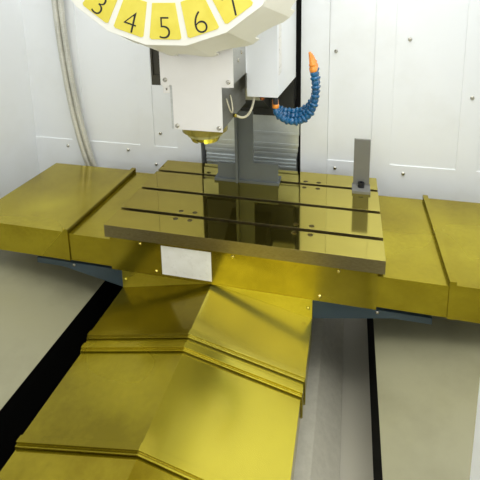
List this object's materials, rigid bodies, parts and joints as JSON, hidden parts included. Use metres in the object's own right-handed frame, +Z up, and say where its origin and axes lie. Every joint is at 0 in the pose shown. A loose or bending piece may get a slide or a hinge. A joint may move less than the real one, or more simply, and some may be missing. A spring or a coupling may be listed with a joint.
{
  "type": "cnc machining center",
  "caption": "Small vertical machining centre with T-slotted table, 20-place tool drum, telescopic covers, sheet enclosure with sliding doors and hanging operator panel",
  "frame": {"origin": "on the floor, under the middle of the machine's outline", "axes": "+X to the right seen from the operator's side, +Y to the rear, +Z up"},
  "size_m": [1.78, 2.11, 2.22],
  "materials": {
    "casting_blue": "painted blue-grey, slightly oily",
    "casting_white": "painted off-white",
    "sheet_white": "satin white powder coat",
    "film_gold": "steel sheet under an olive-gold anti-rust oil film",
    "table_gold": "ground cast iron under an olive-gold anti-rust oil film",
    "steel_sheet": "brushed stainless sheet",
    "rail_steel": "ground and hardened steel",
    "dark_steel": "blackened steel",
    "bolt_black": "black oxide",
    "screw_bright": "zinc plated",
    "bracket_grey": "dark blue-grey paint",
    "plate_cream": "matte warm white paint",
    "spindle_gold": "ground steel under a golden oil film",
    "cam_olive": "dark olive paint, oily",
    "hose_blue": "blue moulded hose segments",
    "nozzle_orange": "orange moulded nozzle",
    "hose_white": "thin polyurethane tube",
    "drum_white": "white painted sheet and castings",
    "plate_yellow": "yellow number plates with black figures",
    "panel_grey": "light grey powder coat",
    "button_red": "red moulded",
    "knob_black": "black moulded",
    "conduit_grey": "flexible metal conduit",
    "motor_black": "black motor housing"
  },
  "bodies": {
    "machine": {"base_casting": "casting_blue", "levelling_feet": "dark_steel", "column_casting": "casting_white", "column_strips": "sheet_white", "guide_rails": "rail_steel", "axis_drives": "dark_steel", "y_cover_stage4": "film_gold", "z_cover_fixed": "steel_sheet", "magazine_bracket": "drum_white", "rear_wall": "sheet_white", "wall_screws": "screw_bright", "shell_panels": "sheet_white", "chip_guides": "sheet_white", "operator_panel": "panel_grey", "conduits": "conduit_grey", "rear_cabinet": "panel_grey", "coolant_tank": "sheet_white"},
    "saddle": {"saddle_casting": "casting_blue", "saddle_front_plate": "film_gold", "y_cover_stage1": "film_gold", "y_rear_cover": "steel_sheet", "x_rails": "rail_steel", "x_drive": "dark_steel"},
    "table": {"table_casting": "table_gold", "table_plugs": "table_gold", "table_aprons": "film_gold", "apron_screws": "screw_bright", "x_cover_inner_left": "film_gold", "x_cover_inner_right": "film_gold", "table_brackets": "bracket_grey", "bracket_bolts": "bolt_black"},
    "cover_left": {"x_cover_outer_left": "film_gold"},
    "cover_right": {"x_cover_outer_right": "film_gold"},
    "cover_y2": {"y_cover_stage2": "film_gold"},
    "cover_y3": {"y_cover_stage3": "film_gold"},
    "head": {"head_casting": "casting_white", "head_front_plate": "plate_cream", "head_plate_screws": "screw_bright", "head_side_box": "sheet_white", "spindle_cartridge": "spindle_gold", "spindle_motor": "motor_black", "coolant_block": "dark_steel", "coolant_hoses": "hose_blue", "hose_nozzles": "nozzle_orange", "air_hose": "hose_white", "cam_bars": "cam_olive", "z_cover_top": "steel_sheet"},
    "spindle": {"spindle": "spindle_gold"},
    "cover_z2": {"z_cover_stage2": "steel_sheet"},
    "cover_z3": {"z_cover_stage3": "steel_sheet"},
    "cover_z4": {"z_cover_stage4": "steel_sheet"},
    "magazine": {"magazine_drum": "drum_white", "magazine_plates": "plate_yellow", "magazine_arms": "dark_steel"},
    "left_door": {"left_door": "sheet_white"},
    "right_door": {"right_door": "sheet_white"},
    "emergency_button": {"emergency_button": "button_red"},
    "feed_knob": {"feed_knob": "knob_black"},
    "hand_wheel": {"hand_wheel": "knob_black"},
    "cabinet_door": {"cabinet_door": "panel_grey"}
  },
  "joints": [
    {"name": "y_axis", "type": "slide", "parent": "machine", "child": "saddle", "axis": [0, 1, 0], "range_m": [-0.385, 0.015]},
    {"name": "x_axis", "type": "slide", "parent": "saddle", "child": "table", "axis": [1, 0, 0], "range_m": [-0.316, 0.184]},
    {"name": "left_cover_slide", "type": "slide", "parent": "saddle", "child": "cover_left", "axis": [1, 0, 0], "range_m": [-0.1264, 0.0736]},
    {"name": "right_cover_slide", "type": "slide", "parent": "saddle", "child": "cover_right", "axis": [1, 0, 0], "range_m": [-0.20856, 0.12144]},
    {"name": "y_cover2_slide", "type": "slide", "parent": "machine", "child": "cover_y2", "axis": [0, 1, 0], "range_m": [-0.38, 0.01481]},
    {"name": "y_cover3_slide", "type": "slide", "parent": "machine", "child": "cover_y3", "axis": [0, 1, 0], "range_m": [-0.21175, 0.00825]},
    {"name": "z_axis", "type": "slide", "parent": "machine", "child": "head", "axis": [0, 0, 1], "range_m": [0, 0.245]},
    {"name": "spindle_turn", "type": "hinge", "parent": "head", "child": "spindle", "pos_m": [0, -0.155, 1.112], "axis": [0, 0, 1], "continuous": true},
    {"name": "z_cover2_slide", "type": "slide", "parent": "machine", "child": "cover_z2", "axis": [0, 0, 1], "range_m": [0, 0.2009]},
    {"name": "z_cover3_slide", "type": "slide", "parent": "machine", "child": "cover_z3", "axis": [0, 0, 1], "range_m": [0, 0.13475]},
    {"name": "z_cover4_slide", "type": "slide", "parent": "machine", "child": "cover_z4", "axis": [0, 0, 1], "range_m": [0, 0.0686]},
    {"name": "magazine_turn", "type": "hinge", "parent": "machine", "child": "magazine", "pos_m": [0, -0.355, 1.616], "axis": [0, 1, 0], "continuous": true},
    {"name": "left_door_slide", "type": "slide", "parent": "machine", "child": "left_door", "axis": [1, 0, 0], "range_m": [0, 0.426]},
    {"name": "right_door_slide", "type": "slide", "parent": "machine", "child": "right_door", "axis": [1, 0, 0], "range_m": [-0.426, 0]},
    {"name": "button_press", "type": "slide", "parent": "machine", "child": "emergency_button", "axis": [0, 1, 0], "range_m": [0, 0.006], "stiffness_N_per_m": 800},
    {"name": "feed_knob_turn", "type": "hinge", "parent": "machine", "child": "feed_knob", "pos_m": [0.795, -1.025, 1.47], "axis": [0, 1, 0], "range_deg": [-135, 135]},
    {"name": "hand_wheel_turn", "type": "hinge", "parent": "machine", "child": "hand_wheel", "pos_m": [0.79, -1.025, 1.25], "axis": [0, 1, 0], "continuous": true},
    {"name": "cabinet_door_hinge", "type": "hinge", "parent": "machine", "child": "cabinet_door", "pos_m": [-0.456, 1.044, 1.1], "axis": [0, 0, 1], "range_deg": [0, 110]}
  ],
  "couplings": [
    {"joint": "left_cover_slide", "follows": "x_axis", "ratio": 0.4},
    {"joint": "right_cover_slide", "follows": "x_axis", "ratio": 0.66},
    {"joint": "y_cover2_slide", "follows": "y_axis", "ratio": 0.987},
    {"joint": "y_cover3_slide", "follows": "y_axis", "ratio": 0.55},
    {"joint": "z_cover2_slide", "follows": "z_axis", "ratio": 0.82},
    {"joint": "z_cover3_slide", "follows": "z_axis", "ratio": 0.55},
    {"joint": "z_cover4_slide", "follows": "z_axis", "ratio": 0.28}
  ]
}
